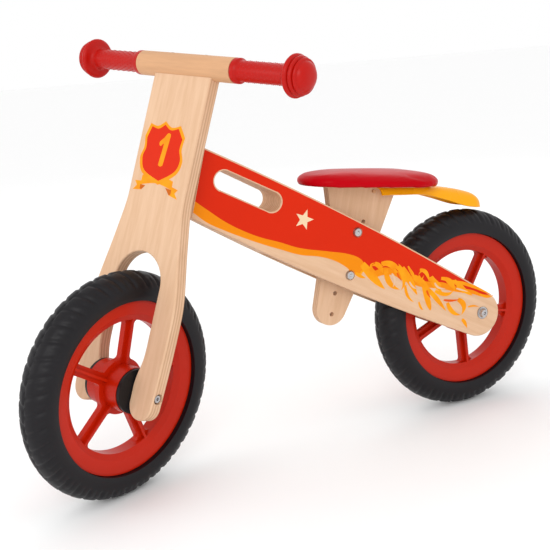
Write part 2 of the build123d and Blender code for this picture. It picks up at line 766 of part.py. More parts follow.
def hub_bushes(line):
    """Two flanged plastic bushes that carry the hub on the axle bolt."""
    with BuildPart() as bushes:
        for outward in (line, turned_over(line)):
            with BuildSketch(outward.offset(hub_half_length)):
                Circle(hub_radius - 1)
                Circle(axle_bolt_radius + running_gap, mode=Mode.SUBTRACT)
            extrude(amount=5)
            with BuildSketch(outward.offset(hub_half_length)):
                Circle(hub_bore_radius)
                Circle(axle_bolt_radius + running_gap, mode=Mode.SUBTRACT)
            extrude(amount=-14)
    return bushes


for wheel_name, wheel_line, phase in (
    ("front", front_line, front_spoke_angle),
    ("rear", rear_line, rear_spoke_angle),
):
    keep_piece(wheel_rim(wheel_line, phase), f"{wheel_name}_rim")
    keep_piece(wheel_tyre(wheel_line), f"{wheel_name}_tyre")
    keep_piece(hub_bushes(wheel_line), f"{wheel_name}_hub_bushes")
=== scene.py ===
"""Looks of a wooden balance bike: flame-painted beam, steered fork, padded seat, moulded wheels and grips."""

import json
from math import atan2, cos, floor, hypot, pi, radians, sin, sqrt, tan

import bmesh
import bpy
from bpy.props import FloatProperty, FloatVectorProperty, IntProperty, PointerProperty
from bpy.types import Operator, Panel, PropertyGroup
from mathutils import Matrix, Vector


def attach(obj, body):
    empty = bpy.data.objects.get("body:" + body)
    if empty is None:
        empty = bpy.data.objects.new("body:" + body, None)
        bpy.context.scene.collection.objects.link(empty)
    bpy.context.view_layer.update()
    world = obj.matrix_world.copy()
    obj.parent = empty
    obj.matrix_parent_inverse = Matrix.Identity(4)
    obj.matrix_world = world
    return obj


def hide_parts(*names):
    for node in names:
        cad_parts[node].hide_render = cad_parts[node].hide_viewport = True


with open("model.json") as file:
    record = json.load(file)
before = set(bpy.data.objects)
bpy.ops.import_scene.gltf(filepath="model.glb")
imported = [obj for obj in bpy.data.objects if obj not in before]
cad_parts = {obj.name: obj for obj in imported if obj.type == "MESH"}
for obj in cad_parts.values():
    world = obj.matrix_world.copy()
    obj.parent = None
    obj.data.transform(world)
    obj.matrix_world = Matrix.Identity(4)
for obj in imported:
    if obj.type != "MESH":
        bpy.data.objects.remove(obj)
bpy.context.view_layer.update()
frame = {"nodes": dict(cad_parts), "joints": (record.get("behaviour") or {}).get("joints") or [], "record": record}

bl_info = {
    "name": "Balance bike",
    "version": (1, 0, 0),
    "blender": (4, 5, 0),
    "location": "3D View > Sidebar > Balance bike",
    "description": "Finishes, artwork and soft pieces of a wooden balance bike, built round its frame",
    "category": "Object",
}

# ---- places taken from the frame ----
MM = 0.001
joints = {joint["name"]: joint for joint in frame["joints"]}
mounts = {mount["name"]: Vector(mount["pos_m"]) for mount in frame["record"]["mounts"]}

rear_axle = Vector(joints["rear_wheel_spin"]["pos_m"])
front_axle = Vector(joints["front_wheel_spin"]["pos_m"])
bike_left = Vector((0, 1, 0))
across = Vector(joints["front_wheel_spin"]["axis"]).normalized()
axis_up = Vector(joints["steering"]["axis"]).normalized()
bar_middle = (mounts["bar_left"] + mounts["bar_right"]) / 2
board_up = (bar_middle - front_axle).normalized()
board_ahead = across.cross(board_up)

# Side panels: their outer faces are splayed about the rear axle.
PANEL_HALF_WIDTH = 57
PANEL_SPLAY = radians(5.5)
BOARD_HALF = 9
# Thickness of one pair of glued layers, dark and pale.
PLY_PITCH = 4.5
# The seat lies tilted on its post.
SEAT_TILT = radians(6.5)
SEAT_PLACE = Vector((155, 0, 205.9))
BEAM_SLOPE = radians(28.7)
POST_LEAN = radians(14.5)
seat_middle = rear_axle + SEAT_PLACE * MM
seat_ahead = Vector((cos(SEAT_TILT), 0, sin(SEAT_TILT)))
seat_up = Vector((-sin(SEAT_TILT), 0, cos(SEAT_TILT)))
beam_ahead = Vector((cos(BEAM_SLOPE), 0, sin(BEAM_SLOPE)))
post_up = Vector((-sin(POST_LEAN), 0, cos(POST_LEAN)))


def panel_outward(side):
    """Direction square to a side panel's outer face."""
    return Vector((sin(PANEL_SPLAY), side * cos(PANEL_SPLAY), 0))


def on_panel(side):
    """Turns millimetres ahead of and above the rear axle, and a lift off the paint, into a place."""

    def place(x, z, lift):
        face = Vector((x, side * (PANEL_HALF_WIDTH - x * tan(PANEL_SPLAY)), z))
        return rear_axle + (face + panel_outward(side) * lift) * MM

    return place


def on_board(a, b, lift):
    """Turns millimetres to the left and up the fork board, and a lift off its front, into a place."""
    return front_axle + (across * a + board_up * b + board_ahead * (BOARD_HALF + lift)) * MM


def paint(red, green, blue):
    """A colour given in 0 to 255, as the linear colour that the shaders use."""
    shares = [channel / 255 for channel in (red, green, blue)]
    return [(s / 12.92 if s <= 0.04045 else ((s + 0.055) / 1.055) ** 2.4) for s in shares] + [1]


# ---- sizes and colours that can be changed ----
def colour(name, description, default):
    """A colour property."""
    return FloatVectorProperty(
        name=name, description=description, subtype="COLOR", size=4, min=0, max=1, default=default
    )


class BikePaint(PropertyGroup):
    """Colours of the painted and moulded pieces."""

    beam_red: colour("Beam red", "Red paint of the beam", paint(212, 38, 0))
    beam_orange: colour("Beam orange", "Orange band and flames", paint(236, 136, 0))
    rim_red: colour("Rim red", "Moulded wheels", paint(190, 30, 0))
    grip_red: colour("Grip red", "Rubber grips", paint(184, 14, 4))
    seat_red: colour("Seat red", "Vinyl of the seat", paint(188, 0, 16))
    guard_yellow: colour("Guard yellow", "Moulded tail guard", paint(250, 168, 0))
    wood_pale: colour("Pale wood", "Light grain of the plywood", paint(224, 188, 156))
    wood_dark: colour("Dark wood", "Dark grain of the plywood", paint(206, 165, 130))
    dowel_wood: colour("Dowel", "Beech of the handlebar", paint(216, 166, 124))


class BikeTread(PropertyGroup):
    """Pattern of the foam tyres."""

    blocks: IntProperty(name="Blocks", description="Tread blocks round each side", default=40, min=12, max=80)
    groove: FloatProperty(
        name="Groove", description="Depth of the grooves", default=1.7 * MM, subtype="DISTANCE", unit="LENGTH"
    )


class BikeSeat(PropertyGroup):
    """Padding of the seat."""

    pressure: FloatProperty(name="Pressure", description="How hard the padding presses", default=4)
    swell: FloatProperty(
        name="Swell",
        description="Furthest the cover moves",
        default=5 * MM,
        subtype="DISTANCE",
        unit="LENGTH",
    )


class BikeStage(PropertyGroup):
    """Studio round the bike."""

    sky: FloatProperty(name="Sky", description="Strength of the even light", default=1.0, min=0)
    key: FloatProperty(
        name="Key light", description="Power of the main lamp", default=20, min=0, unit="POWER"
    )


# ---- shader expressions ----
class Amount:
    """A number at a shader socket; Python's operators on it add Math nodes."""

    def __init__(self, finish, socket):
        self.finish = finish
        self.socket = socket

    def __add__(self, other):
        return self.finish.math("ADD", self, other)

    def __sub__(self, other):
        return self.finish.math("SUBTRACT", self, other)

    def __rsub__(self, other):
        return self.finish.math("SUBTRACT", other, self)

    def __mul__(self, other):
        return self.finish.math("MULTIPLY", self, other)

    def __truediv__(self, other):
        return self.finish.math("DIVIDE", self, other)

    def __gt__(self, other):
        return self.finish.math("GREATER_THAN", self, other)

    __radd__ = __add__
    __rmul__ = __mul__

    def sine(self):
        return self.finish.math("SINE", self)

    def size(self):
        return self.finish.math("ABSOLUTE", self)

    def clamped(self):
        return self.finish.math("ADD", self, 0, use_clamp=True)


class Finish:
    """One material, built round a single surface shader on object coordinates."""

    def __init__(self, name, **constants):
        self.material = bpy.data.materials.new(name)
        self.material.use_nodes = True
        self.tree = self.material.node_tree
        self.tree.nodes.clear()
        self.surface = self.node("ShaderNodeBsdfPrincipled")
        output = self.node("ShaderNodeOutputMaterial")
        self.tree.links.new(self.surface.outputs["BSDF"], output.inputs["Surface"])
        for socket, value in constants.items():
            self.surface.inputs[socket.replace("_", " ")].default_value = value
        places = self.node("ShaderNodeTexCoord")
        self.place = places.outputs["Object"]
        self.facing = places.outputs["Normal"]

    def node(self, kind, settings=None, inputs=None):
        """Adds a node with its settings, then the values or links of its sockets."""
        made = self.tree.nodes.new(kind)
        for name, value in (settings or {}).items():
            if name == "points":
                line = made.mapping.curves[0].points
                for point in value[1:-1]:
                    line.new(*point)
                for point, location in zip(line, value):
                    point.location = location
                    point.handle_type = "AUTO_CLAMPED"
                made.mapping.update()
            else:
                setattr(made, name, value)
        for key, value in (inputs or {}).items():
            self.feed(made.inputs[key], value)
        return made

    def feed(self, socket, value):
        """Links a socket, or sets it where the value is a plain number or colour."""
        if isinstance(value, Amount):
            value = value.socket
        if isinstance(value, bpy.types.NodeSocket):
            self.tree.links.new(value, socket)
        else:
            socket.default_value = value

    def math(self, operation, *terms, use_clamp=False):
        """A Math node on its terms."""
        settings = {"operation": operation, "use_clamp": use_clamp}
        made = self.node("ShaderNodeMath", settings, dict(enumerate(terms)))
        return Amount(self, made.outputs[0])

    def along(self, direction, origin=None):
        """Millimetres from the origin along a direction."""
        start = origin or Vector((0, 0, 0))
        offset = self.node("ShaderNodeVectorMath", {"operation": "SUBTRACT"}, {0: self.place, 1: start})
        terms = {0: offset.outputs[0], 1: direction / MM}
        dot = self.node("ShaderNodeVectorMath", {"operation": "DOT_PRODUCT"}, terms)
        return Amount(self, dot.outputs["Value"])

    def turned_to(self, direction):
        """Cosine between the surface's own direction and a given one."""
        dot = self.node("ShaderNodeVectorMath", {"operation": "DOT_PRODUCT"}, {0: self.facing, 1: direction})
        return Amount(self, dot.outputs["Value"])

    def noise(self, scale, vector=None, detail=3.0):
        """Cloudy noise from 0 to 1, on object coordinates unless a vector is given."""
        inputs = {"Vector": vector or self.place, "Scale": scale, "Detail": detail, "Roughness": 0.55}
        made = self.node("ShaderNodeTexNoise", None, inputs)
        return Amount(self, made.outputs["Fac"])

    def vector(self, x, y, z):
        """Three amounts as one vector."""
        return self.node("ShaderNodeCombineXYZ", None, {0: x, 1: y, 2: z}).outputs[0]

    def blend(self, share, one, other):
        """A colour between two, by share."""
        made = self.node("ShaderNodeMix", {"data_type": "RGBA"}, {0: share, 6: one, 7: other})
        return made.outputs[2]

    def curve(self, share, points):
        """Height of a curve through points, at a share of its length."""
        made = self.node("ShaderNodeFloatCurve", {"points": points}, {"Value": share})
        return Amount(self, made.outputs[0])

    def base(self, shade):
        """Sets the colour."""
        self.feed(self.surface.inputs["Base Color"], shade)
        return self

    def rough(self, amount):
        """Sets how rough the surface is."""
        self.feed(self.surface.inputs["Roughness"], amount)
        return self

    def bump(self, height, distance, strength):
        """Adds fine relief, as deep as the distance."""
        inputs = {"Height": height, "Distance": distance, "Strength": strength}
        made = self.node("ShaderNodeBump", None, inputs)
        self.feed(self.surface.inputs["Normal"], made.outputs[0])
        return self


def darker(shade, share):
    """A colour scaled towards black."""
    return [channel * share for channel in shade[:3]] + [1]


# ---- finishes ----
# Spans of the wood's figure and fibre along the grain, across it and into the board, in millimetres.
FIGURE = (70, 6, 9)
FIBRE = (16, 0.9, 0.9)
# Streaks on the cut layers: along the edge and across one layer.
STREAK_RUN, STREAK_DEPTH = 40, 2.2
STRIPE_SHARE = 0.55
# A face that turns further than this cosine off its panel isn't painted.
FLAT_FACE = 0.985
PAINT_EDGE = 3  # how crisp a paint boundary is, per millimetre


def wood_colours(finish, grain, side, face, colours):
    """Long grain along one direction, with fine fibres: its colour and its relief."""
    pale, dark = colours
    places = [finish.along(direction) for direction in (grain, side, face)]
    figure = finish.noise(1, finish.vector(*[place / span for place, span in zip(places, FIGURE)]), detail=4)
    fibre = finish.noise(1, finish.vector(*[place / span for place, span in zip(places, FIBRE)]), detail=2)
    share = (figure * 1.5 - 0.2 + (fibre - 0.5) * 0.4).clamped()
    return finish.blend(share, dark, pale), fibre


def solid_wood(name, grain, side, colours):
    """Turned or sawn beech."""
    finish = Finish(name, Specular_IOR_Level=0.2)
    shade, fibre = wood_colours(finish, grain, side, grain.cross(side), colours)
    return finish.base(shade).rough(0.46 + fibre * 0.16).bump(fibre, 0.25 * MM, 0.25)


def ply_stack(finish, shade, face, origin, fibre):
    """Shows the glued layers wherever the surface doesn't face along the stack."""
    depth = finish.along(face, origin)
    edge_on = 1 - (finish.turned_to(face).size() * 6 - 4.6).clamped()
    layers = ((depth * (2 * pi / PLY_PITCH)).sine() * 0.7 + 0.45 + (fibre - 0.5) * 1.2).clamped()
    aside, along = finish.along(bike_left) / STREAK_RUN, finish.along(post_up) / STREAK_RUN
    streak = finish.noise(1, finish.vector(aside, along, depth / STREAK_DEPTH))
    brown = finish.blend(streak, paint(140, 96, 66), paint(206, 160, 122))
    return finish.blend(edge_on * layers * STRIPE_SHARE, shade, brown)


def plywood(name, face, grain, origin, colours):
    """Plywood with its layers showing on the edges."""
    finish = Finish(name, Specular_IOR_Level=0.15)
    shade, fibre = wood_colours(finish, grain, grain.cross(face), face, colours)
    shade = ply_stack(finish, shade, face, origin, fibre)
    return finish.base(shade).rough(0.5 + fibre * 0.15).bump(fibre, 0.2 * MM, 0.25)


# Boundaries on the beam's side, in millimetres ahead of and above the rear axle.
RED_LINE = (
    (-30, 22), (-25, 23), (-16, 25), (-2, 28), (16, 37), (34, 43), (51, 50), (68, 57), (85, 60), (102, 65),
    (118, 74), (141, 85), (164, 93), (179, 90), (190, 99), (199, 111), (216, 119.7), (248, 128.2),
    (290, 138.8), (320, 151.2), (345, 160.7), (370, 173.1), (394, 188.2), (417, 206.6), (433, 220),
    (445, 231),
)
ORANGE_LINE = (
    (-30, 21), (-16, 22), (-2, 24), (16, 31), (34, 36), (51, 41), (68, 47), (85, 51), (102, 55), (118, 62),
    (134, 70), (150, 80), (164, 82), (179, 80), (192, 92), (200, 90), (207, 89.4), (221, 101.6),
    (238, 113.2), (259, 121.9), (290, 129.2), (319, 140.9), (346, 152.3), (370, 163.6), (395, 176.3),
    (419, 190.1), (439, 207.3), (445, 212),
)
LINE_START, LINE_LENGTH = -30, 475
LINE_LOW, LINE_HEIGHT = -30, 270


def above_line(finish, ahead, above, line):
    """1 above a boundary and 0 below it, with a crisp edge."""
    points = [((x - LINE_START) / LINE_LENGTH, (z - LINE_LOW) / LINE_HEIGHT) for x, z in line]
    height = finish.curve((ahead - LINE_START) / LINE_LENGTH, points) * LINE_HEIGHT + LINE_LOW
    return ((above - height) * PAINT_EDGE + 0.5).clamped()


def painted_panel(name, side, colours, red, orange):
    """Plywood panel, painted red with an orange band on its flat outer face."""
    finish = Finish(name, Specular_IOR_Level=0.12)
    face = panel_outward(side)
    grain = (beam_ahead - face * beam_ahead.dot(face)).normalized()
    shade, fibre = wood_colours(finish, grain, grain.cross(face), face, colours)
    origin = rear_axle + Vector((0, side * PANEL_HALF_WIDTH * MM, 0))
    shade = ply_stack(finish, shade, face, origin, fibre)
    ahead = finish.along(Vector((1, 0, 0)), rear_axle)
    above = finish.along(Vector((0, 0, 1)), rear_axle)
    outside = finish.turned_to(face) > FLAT_FACE
    red_part = above_line(finish, ahead, above, RED_LINE) * outside
    orange_part = above_line(finish, ahead, above, ORANGE_LINE) * outside
    cloud = finish.noise(9)
    orange_paint = finish.blend(cloud, darker(orange, 0.93), orange)
    red_paint = finish.blend(cloud, darker(red, 0.9), red)
    shade = finish.blend(orange_part, shade, orange_paint)
    shade = finish.blend(red_part, shade, red_paint)
    painted = finish.math("MAXIMUM", red_part, orange_part)
    gloss = 0.5 + fibre * 0.15 - painted * 0.14
    return finish.base(shade).rough(gloss).bump(fibre * (1 - painted * 0.8), 0.2 * MM, 0.25)


def ink(name, shade, second=None):
    """Printed artwork: a semi-gloss ink that shifts a little in tone."""
    finish = Finish(name, Specular_IOR_Level=0.12)
    cloud = finish.noise(60)
    tone = finish.blend((cloud * 1.6 - 0.3).clamped(), darker(shade, 0.93), second or shade)
    return finish.base(tone).rough(0.4 + cloud * 0.1).bump(finish.noise(900), 0.05 * MM, 0.2)


def moulded(name, shade, roughness, grain_scale, grain_depth, specular=0.2):
    """Moulded plastic or rubber with a fine skin."""
    finish = Finish(name, Specular_IOR_Level=specular)
    cloud = finish.noise(14)
    skin = finish.noise(grain_scale, detail=2)
    tone = finish.blend(cloud, darker(shade, 0.88), shade)
    return finish.base(tone).rough(roughness + (cloud - 0.5) * 0.12).bump(skin, grain_depth, 0.35)


def steel(name):
    """Bright zinc-plated steel."""
    finish = Finish(name, Metallic=1.0)
    cloud = finish.noise(240)
    tone = finish.blend(cloud, paint(150, 148, 150), paint(214, 212, 212))
    return finish.base(tone).rough(0.22 + cloud * 0.18).bump(finish.noise(1800), 0.05 * MM, 0.2)


def foam_tyre(name):
    """Black foam rubber, faintly bluish, with fine pores."""
    finish = Finish(name, Specular_IOR_Level=0.28)
    cloud = finish.noise(30)
    pores = finish.noise(1500, detail=2)
    tone = finish.blend(cloud, paint(6, 4, 7), paint(17, 13, 19))
    return finish.base(tone).rough(0.4 + cloud * 0.14).bump(pores, 0.12 * MM, 0.3)


def vinyl(name, shade):
    """Glossy red vinyl with a fine leather grain."""
    finish = Finish(name, Specular_IOR_Level=0.05)
    cells = finish.node("ShaderNodeTexVoronoi", None, {"Vector": finish.place, "Scale": 520.0})
    cloud = finish.noise(18)
    tone = finish.blend(cloud, darker(shade, 0.86), shade)
    grain = Amount(finish, cells.outputs["Distance"])
    return finish.base(tone).rough(0.26 + cloud * 0.08).bump(grain, 0.1 * MM, 0.2)


def cover(node, finish):
    """Puts a finish on a node of the frame."""
    data = frame["nodes"][node].data
    data.materials.clear()
    data.materials.append(finish.material)


# ---- shaping ----
INLAY_SINK = 0.15  # an inlay's back lies this far under the surface
# A flame's width as a share of a half sine: where its root starts, and how full it is.
TONGUE_ROOT, TONGUE_FULLNESS = 0.24, 0.9
MERGE_GAP = 1e-6


def piece(name, mesh, body, finish, sharp=35):
    """Turns a finished bmesh into a piece that rides on a body."""
    data = bpy.data.meshes.new(name)
    mesh.to_mesh(data)
    mesh.free()
    made = bpy.data.objects.new(name, data)
    bpy.context.scene.collection.objects.link(made)
    data.materials.append(finish.material)
    data.shade_smooth()
    data.set_sharp_from_angle(angle=radians(sharp))
    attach(made, body)
    return made


def close_up(mesh):
    """Merges doubles and points the faces outwards."""
    bmesh.ops.remove_doubles(mesh, verts=mesh.verts, dist=MERGE_GAP)
    bmesh.ops.recalc_face_normals(mesh, faces=mesh.faces)


def chain(mesh, places):
    """A few vertices joined one after the other."""
    corners = [mesh.verts.new(place) for place in places]
    sides = [mesh.edges.new(pair) for pair in zip(corners, corners[1:])]
    return corners + sides


def spun(mesh, centre, axis, beside, profile, steps):
    """Spins a profile of (along the axis, radius) millimetres a full turn."""
    line = chain(mesh, [centre + (axis * a + beside * r) * MM for a, r in profile])
    bmesh.ops.spin(mesh, geom=line, cent=centre, axis=axis, angle=2 * pi, steps=steps, use_merge=True)


def fair(points, x):
    """Height of a smooth curve through points sorted by x."""
    points = sorted(points)
    last = len(points) - 2
    i = max(k for k in range(last + 1) if k == 0 or points[k][0] <= x)

    def slope(k):
        before, after = points[max(k - 1, 0)], points[min(k + 1, last + 1)]
        return (after[1] - before[1]) / (after[0] - before[0])

    (x0, y0), (x1, y1) = points[i], points[i + 1]
    step = x1 - x0
    t = (x - x0) / step
    return (
        (1 + 2 * t) * (1 - t) ** 2 * y0
        + t * (1 - t) ** 2 * step * slope(i)
        + t * t * (3 - 2 * t) * y1
        + t * t * (t - 1) * step * slope(i + 1)
    )


def inlay(mesh, outline, place, lift):
    """A thin closed plate in the outline's shape, its face lifted just off the surface."""
    plate = mesh.faces.new([mesh.verts.new(place(x, z, -INLAY_SINK)) for x, z in outline])
    grown = bmesh.ops.extrude_face_region(mesh, geom=[plate], use_keep_orig=True)
    moved = [item for item in grown["geom"] if isinstance(item, bmesh.types.BMVert)]
    x, z = outline[0]
    bmesh.ops.translate(mesh, verts=moved, vec=place(x, z, lift) - place(x, z, -INLAY_SINK))


def tongue(start, middle, end, width, count=12):
    """Outline of a flame tongue that bends through its middle to a point."""
    start, middle, end = Vector(start), Vector(middle), Vector(end)
    control = middle * 2 - (start + end) / 2
    left, right = [], []
    for i in range(count):
        t = i / count
        centre = start * (1 - t) ** 2 + control * 2 * t * (1 - t) + end * t * t
        ahead = ((control - start) * (1 - t) + (end - control) * t).normalized()
        fullness = sin(pi * (TONGUE_ROOT + (1 - TONGUE_ROOT) * t)) ** TONGUE_FULLNESS
        half = Vector((-ahead.y, ahead.x)) * (width / 2 * fullness)
        left.append(centre + half)
        right.append(centre - half)
    return left + [end] + right[::-1]


def rounded(points, count=5):
    """A closed outline smoothed through its points; a point given twice stays a corner."""
    made = []
    size = len(points)
    for i in range(size):
        before, here = Vector(points[i - 1]), Vector(points[i])
        after, beyond = Vector(points[(i + 1) % size]), Vector(points[(i + 2) % size])
        if here == after:
            continue
        made.append(here)
        out = (after - before) / 2 if before != here else (after - here) / 2
        into = (beyond - here) / 2 if beyond != after else (after - here) / 2
        for k in range(1, count):
            t = k / count
            made.append(
                here * ((1 + 2 * t) * (1 - t) ** 2)
                + out * (t * (1 - t) ** 2)
                + after * (t * t * (3 - 2 * t))
                + into * (t * t * (t - 1))
            )
    return made


# ---- artwork ----
# Flame tongues: start, middle, end and greatest width.
FLAMES = (
    ((208, 92), (200, 86), (192, 82), 5), ((199, 88), (197, 92), (190, 93), 3),
    ((196, 103), (179, 80), (162, 61), 12), ((176, 88), (183, 98), (175, 102), 3.5),
    ((176, 101), (168, 95), (164, 84), 6), ((166, 99), (147, 95), (135, 79), 7),
    ((139, 90), (131, 70), (136, 56), 6), ((159, 90), (154, 69), (138, 57), 8.5),
    ((138, 92), (134, 85), (126, 78), 3.5), ((123, 89), (118, 78), (112, 64), 3.5),
    ((133, 88), (120, 65), (110, 44), 10.5), ((129, 62), (126, 46), (116, 35), 4.5),
    ((104, 81), (93, 75), (90, 60), 4.5), ((106, 73), (102, 67), (98, 72), 3),
    ((114, 72), (97, 56), (89, 39), 10), ((99, 56), (92, 30), (89, 18), 9),
    ((108, 34), (105, 25), (101, 21), 3.5), ((86, 68), (80, 56), (68, 42), 9),
    ((69, 63), (52, 55), (48, 40), 6), ((80, 46), (62, 38), (49, 42), 6),
    ((91, 50), (76, 31), (63, 13), 7.5), ((42, 27), (32, 16), (37, 3), 8.5),
    ((60, 25), (52, 10), (38, 3), 7), ((47, 56), (30, 39), (16, 29), 7),
    ((44, 54), (16, 43), (-18, 24), 5), ((4, 29), (-9, 23), (-20, 24), 3.5),
    ((25, 13), (15, 13), (6, 10), 2.6), ((36, -4), (31, -11), (28, -19), 5.5),
    ((166, 88), (174, 98), (182, 97), 4.5), ((142, 82), (154, 95), (166, 94), 5),
    ((132, 78), (134, 87), (139, 95), 4), ((113, 68), (117, 79), (123, 89), 3.6),
    ((88, 62), (98, 78), (107, 73), 4), ((70, 52), (78, 60), (84, 69), 4.5), ((50, 46), (58, 56),
    (66, 64), 4),
    ((32, 36), (40, 45), (46, 54), 4), ((58, 56), (44, 54), (30, 44), 4),
)
WOOD_GAPS = (
    ((150, 82), (146, 72), (150, 62), 3.2), ((122, 66), (117, 58), (110, 54), 2.6),
    ((80, 58), (74, 50), (62, 47), 3), ((44, 44), (34, 40), (24, 36), 2.4),
)
EMBERS = (
    ((94, 49), (92, 43), (88, 36), 3), ((66, 30), (52, 27), (40, 27), 3.4),
    ((141, 82), (139, 76), (134, 68), 2.4),
)
STAR_PLACE = (281, 176.8)
STAR_RADIUS = 14.5
STAR_WAIST = 0.42
STAR_TURN = radians(24)
LAYER_LIFT = 0.004  # each tongue lies this much above the last, so that none share a face

SHIELD = (
    (-10, 342.5), (-10, 342.5), (-22, 335.5), (-35.6, 338), (-35.6, 338), (-41.5, 321), (-41.5, 321),
    (-39, 306),
    (-42.5, 292), (-33, 273), (-0.4, 261), (-0.4, 261), (27, 277), (33.5, 294), (28, 309), (29.5, 324.5),
    (29.5, 324.5), (17.8, 339), (17.8, 339), (3, 335.5),
)
SHIELD_CENTRE = Vector((-5, 305))
SHIELD_INSET = 0.885  # the red field's size as a share of the border's
NUMERAL = (
    (0.6, 328), (3.4, 327), (4.2, 324.4), (3.9, 321), (0.9, 288.6), (-0.3, 285.8), (-3.2, 284.4),
    (-6.4, 285.6),
    (-7.2, 288.6), (-4.9, 313.2), (-9.2, 310.6), (-12, 311.4), (-13, 314), (-12, 316.6), (-6.4, 321.4),
    (-2.4, 326.8),
)
RIBBON = (
    (-31, 270.5), (-31, 270.5), (-4, 274), (25, 268.5), (25, 268.5), (25.5, 257.5), (25.5, 257.5),
    (-3, 262.5),
    (-31.5, 258), (-31.5, 258),
)
RIBBON_TAILS = (
    ((-29, 263), (-42.5, 262), (-37.5, 256.5), (-43.5, 250), (-28, 251.5)),
    ((23, 262), (36.5, 259), (32, 254), (38.5, 247), (22.5, 250.5)),
)
RIBBON_FOLDS = (
    ((-31.5, 258), (-22, 257.6), (-28, 251.5), (-31.5, 253)),
    ((25.5, 257.5), (14, 259), (22.5, 250.5), (25.5, 252)),
)


class BIKE_OT_wooden_pieces(Operator):
    """Gives the plywood and beech pieces their grain, layers and paint"""

    bl_idname = "bike.wooden_pieces"
    bl_label = "Wooden pieces"

    def execute(self, context):
        shades = context.scene.bike_paint
        colours = (list(shades.wood_pale), list(shades.wood_dark))
        beech = (list(shades.dowel_wood), darker(shades.dowel_wood, 0.78))
        board_back = front_axle - board_ahead * BOARD_HALF * MM
        post = plywood("post_plywood", bike_left, post_up, rear_axle, colours)
        hinge = plywood("hinge_plywood", axis_up, across, front_axle, colours)
        finishes = {
            "frame_panel_left": painted_panel(
                "panel_left_paint", 1, colours, list(shades.beam_red), list(shades.beam_orange)
            ),
            "frame_panel_right": painted_panel(
                "panel_right_paint", -1, colours, list(shades.beam_red), list(shades.beam_orange)
            ),
            "head_block": plywood("block_plywood", bike_left, beam_ahead, rear_axle, colours),
            "fork_board": plywood("fork_plywood", board_ahead, board_up, board_back, colours),
            "seat_post": post,
            "seat_board": plywood("seat_plywood", seat_up, seat_ahead, seat_middle, colours),
            "hinge_block_upper": hinge,
            "hinge_block_lower": hinge,
            "handlebar": solid_wood("bar_beech", across, board_up, beech),
            "tail_pin": solid_wood("pin_beech", bike_left, post_up, beech),
            "post_spacers": solid_wood("spacer_beech", bike_left, post_up, beech),
        }
        for node, finish in finishes.items():
            cover(node, finish)
        return {"FINISHED"}


class BIKE_OT_moulded_pieces(Operator):
    """Gives the wheels, bushes and steel fasteners their plastic and metal"""

    bl_idname = "bike.moulded_pieces"
    bl_label = "Wheels and fasteners"

    def execute(self, context):
        shades = context.scene.bike_paint
        rim = moulded("rim_plastic", list(shades.rim_red), 0.34, 700, 0.06 * MM)
        black = moulded("black_plastic", paint(26, 25, 27), 0.42, 900, 0.08 * MM)
        bright = steel("zinc_steel")
        slots = {"rim_plastic": rim, "black_plastic": black, "steel": bright}
        for part in frame["record"]["subparts"]:
            finish = slots.get(part["material_slot"])
            if finish:
                cover(part["node"], finish)
        return {"FINISHED"}


class BIKE_OT_beam_artwork(Operator):
    """Lays the flames, their embers and a plain star on both sides of the beam"""

    bl_idname = "bike.beam_artwork"
    bl_label = "Beam artwork"

    def execute(self, context):
        shades = context.scene.bike_paint
        flame_ink = ink("flame_ink", list(shades.beam_orange), paint(250, 168, 20))
        ember_ink = ink("ember_ink", paint(226, 84, 4))
        star_ink = ink("star_ink", paint(236, 208, 170))
        bare_ink = ink("bare_wood_tone", list(shades.wood_pale))
        star = []
        for i in range(10):
            reach = STAR_RADIUS * (1 if i % 2 == 0 else STAR_WAIST)
            angle = STAR_TURN + pi / 2 + i * pi / 5
            star.append((STAR_PLACE[0] + reach * cos(angle), STAR_PLACE[1] + reach * sin(angle)))
        for side, name in ((1, "left"), (-1, "right")):
            place = on_panel(side)
            for label, shapes, finish, lift in (
                ("flames", [tongue(*flame) for flame in FLAMES], flame_ink, 0.12),
                ("bare_gaps", [tongue(*gap) for gap in WOOD_GAPS], bare_ink, 0.26),
                ("embers", [tongue(*ember) for ember in EMBERS], ember_ink, 0.28),
                ("star", [star], star_ink, 0.12),
            ):
                mesh = bmesh.new()
                for i, outline in enumerate(shapes):
                    inlay(mesh, outline, place, lift + LAYER_LIFT * i)
                bmesh.ops.recalc_face_normals(mesh, faces=mesh.faces)
                piece(f"{label}_{name}", mesh, "frame", finish)
        return {"FINISHED"}


class BIKE_OT_fork_badge(Operator):
    """Lays the racing shield, its numeral and the ribbon on the front of the fork"""

    bl_idname = "bike.fork_badge"
    bl_label = "Fork badge"

    def execute(self, context):
        shades = context.scene.bike_paint
        orange = ink("badge_orange", list(shades.beam_orange), paint(252, 160, 16))
        red = ink("badge_red", list(shades.beam_red))
        shadow = ink("badge_shadow", paint(196, 96, 10))
        outer = rounded(SHIELD)
        inner = [SHIELD_CENTRE + (point - SHIELD_CENTRE) * SHIELD_INSET for point in outer]
        parts = (
            ("badge_ribbon_tails", [list(map(Vector, tail)) for tail in RIBBON_TAILS], orange, 0.08),
            ("badge_ribbon", [rounded(RIBBON)], orange, 0.14),
            ("badge_folds", RIBBON_FOLDS, shadow, 0.11),
            ("badge_border", [outer], orange, 0.2),
            ("badge_shield", [inner], red, 0.26),
            ("badge_numeral", [rounded(NUMERAL, 3)], orange, 0.32),
        )
        for name, outlines, finish, lift in parts:
            mesh = bmesh.new()
            for outline in outlines:
                inlay(mesh, outline, on_board, lift)
            bmesh.ops.recalc_face_normals(mesh, faces=mesh.faces)
            piece(name, mesh, "fork", finish)
        return {"FINISHED"}


